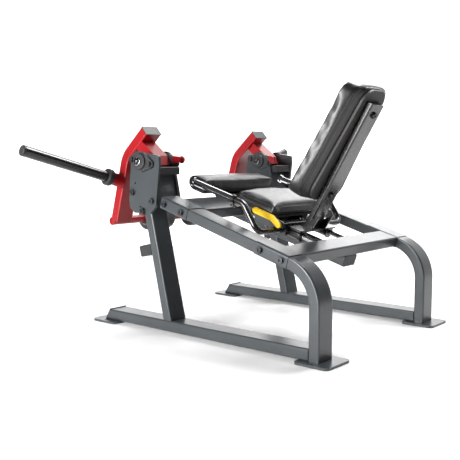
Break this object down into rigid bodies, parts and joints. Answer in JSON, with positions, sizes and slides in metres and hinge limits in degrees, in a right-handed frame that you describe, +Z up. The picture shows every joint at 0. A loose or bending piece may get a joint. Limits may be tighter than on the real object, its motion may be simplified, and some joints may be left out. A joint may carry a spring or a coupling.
{
  "type": "leg extension machine",
  "caption": "Plate-loaded seated leg extension: sliding reclined seat on an inclined frame, twin lever arms with weight horns and foam shin rollers.",
  "frame": {"origin": "on the floor at the centre of the base", "axes": "+X from the user's feet to the backrest, +Y to the user's right, +Z up"},
  "size_m": [1.356, 1.9382, 1.1235],
  "materials": {
    "frame_paint": "satin powder coat",
    "arm_paint": "gloss powder coat",
    "black_paint": "satin powder coat",
    "cap_plastic": "fine texture",
    "rubber": "matt",
    "bearing_iron": "painted casting",
    "black_steel": "black oxide",
    "zinc_steel": "zinc plated",
    "chrome": "polished",
    "upholstery": "grained synthetic leather",
    "board": "black stained plywood",
    "foam": "closed-cell foam skin",
    "core_plastic": "moulded",
    "lever_plastic": "moulded"
  },
  "bodies": {
    "frame": {"runner_left": "frame_paint", "runner_right": "frame_paint", "rear_leg_left": "frame_paint", "rear_leg_right": "frame_paint", "rail_left": "frame_paint", "rail_right": "frame_paint", "front_post_left": "frame_paint", "front_post_right": "frame_paint", "feet_front": "frame_paint", "feet_rear": "frame_paint", "tube_caps": "cap_plastic", "head_plates_outer": "frame_paint", "head_plates_inner": "frame_paint", "head_covers": "frame_paint", "rubber_stops": "rubber", "flange_bearings": "bearing_iron", "frame_bolts": "black_steel", "pull_knobs": "arm_paint", "rail_sleeves": "frame_paint", "rear_cross_member": "frame_paint", "front_cross_member": "frame_paint", "centre_beam": "frame_paint", "index_bar": "zinc_steel", "guide_rods": "chrome", "rod_flanges": "black_steel", "thigh_pad": "upholstery", "thigh_pad_bracket": "black_paint"},
    "lever": {"lever_arm_left": "arm_paint", "lever_arm_right": "arm_paint", "braces": "arm_paint", "pivot_shafts": "chrome", "lever_caps": "cap_plastic", "horn_sockets": "arm_paint", "horn_collars": "rubber", "horns": "black_paint", "cross_tube": "arm_paint", "roller_stops": "black_steel"},
    "roller_left": {"roller_foam_left": "foam", "roller_core_left": "core_plastic"},
    "roller_right": {"roller_foam_right": "foam", "roller_core_right": "core_plastic"},
    "carriage": {"bearing_housings": "black_paint", "carriage_plate": "black_paint", "carriage_brackets": "black_paint", "seat_frame": "black_paint", "seat_board": "board", "seat_pad": "upholstery", "back_support": "black_paint", "back_board": "board", "back_pad": "upholstery", "back_bolts": "black_steel", "handle_tubes": "black_paint", "grips": "chrome", "grip_collars": "black_paint", "pin_housing": "black_steel", "lever_bracket": "frame_paint"},
    "seat_pin": {"seat_pin": "chrome"},
    "release_lever": {"release_lever": "lever_plastic", "lever_shaft": "black_paint"}
  },
  "joints": [
    {"name": "lever_swing", "type": "hinge", "parent": "frame", "child": "lever", "pos_m": [-0.339, 0, 0.776], "axis": [0, 1, 0], "range_deg": [0, 80]},
    {"name": "roller_left_spin", "type": "hinge", "parent": "lever", "child": "roller_left", "pos_m": [-0.61, 0, 0.486], "axis": [0, 1, 0], "continuous": true},
    {"name": "roller_right_spin", "type": "hinge", "parent": "lever", "child": "roller_right", "pos_m": [-0.61, 0, 0.486], "axis": [0, 1, 0], "continuous": true},
    {"name": "seat_slide", "type": "slide", "parent": "frame", "child": "carriage", "axis": [-0.9578, 0, 0.2874], "range_m": [-0.06, 0.06]},
    {"name": "release_pull", "type": "hinge", "parent": "carriage", "child": "release_lever", "pos_m": [0.21294, 0, 0.49817], "axis": [0, 1, 0], "range_deg": [0, 18], "stiffness_Nm_per_rad": 1, "springref_deg": -17.19},
    {"name": "pin_lift", "type": "slide", "parent": "carriage", "child": "seat_pin", "axis": [0.2874, 0, 0.9578], "range_m": [0, 0.00942]}
  ],
  "couplings": [
    {"joint": "pin_lift", "follows": "release_pull", "m_per_rad": 0.03}
  ]
}
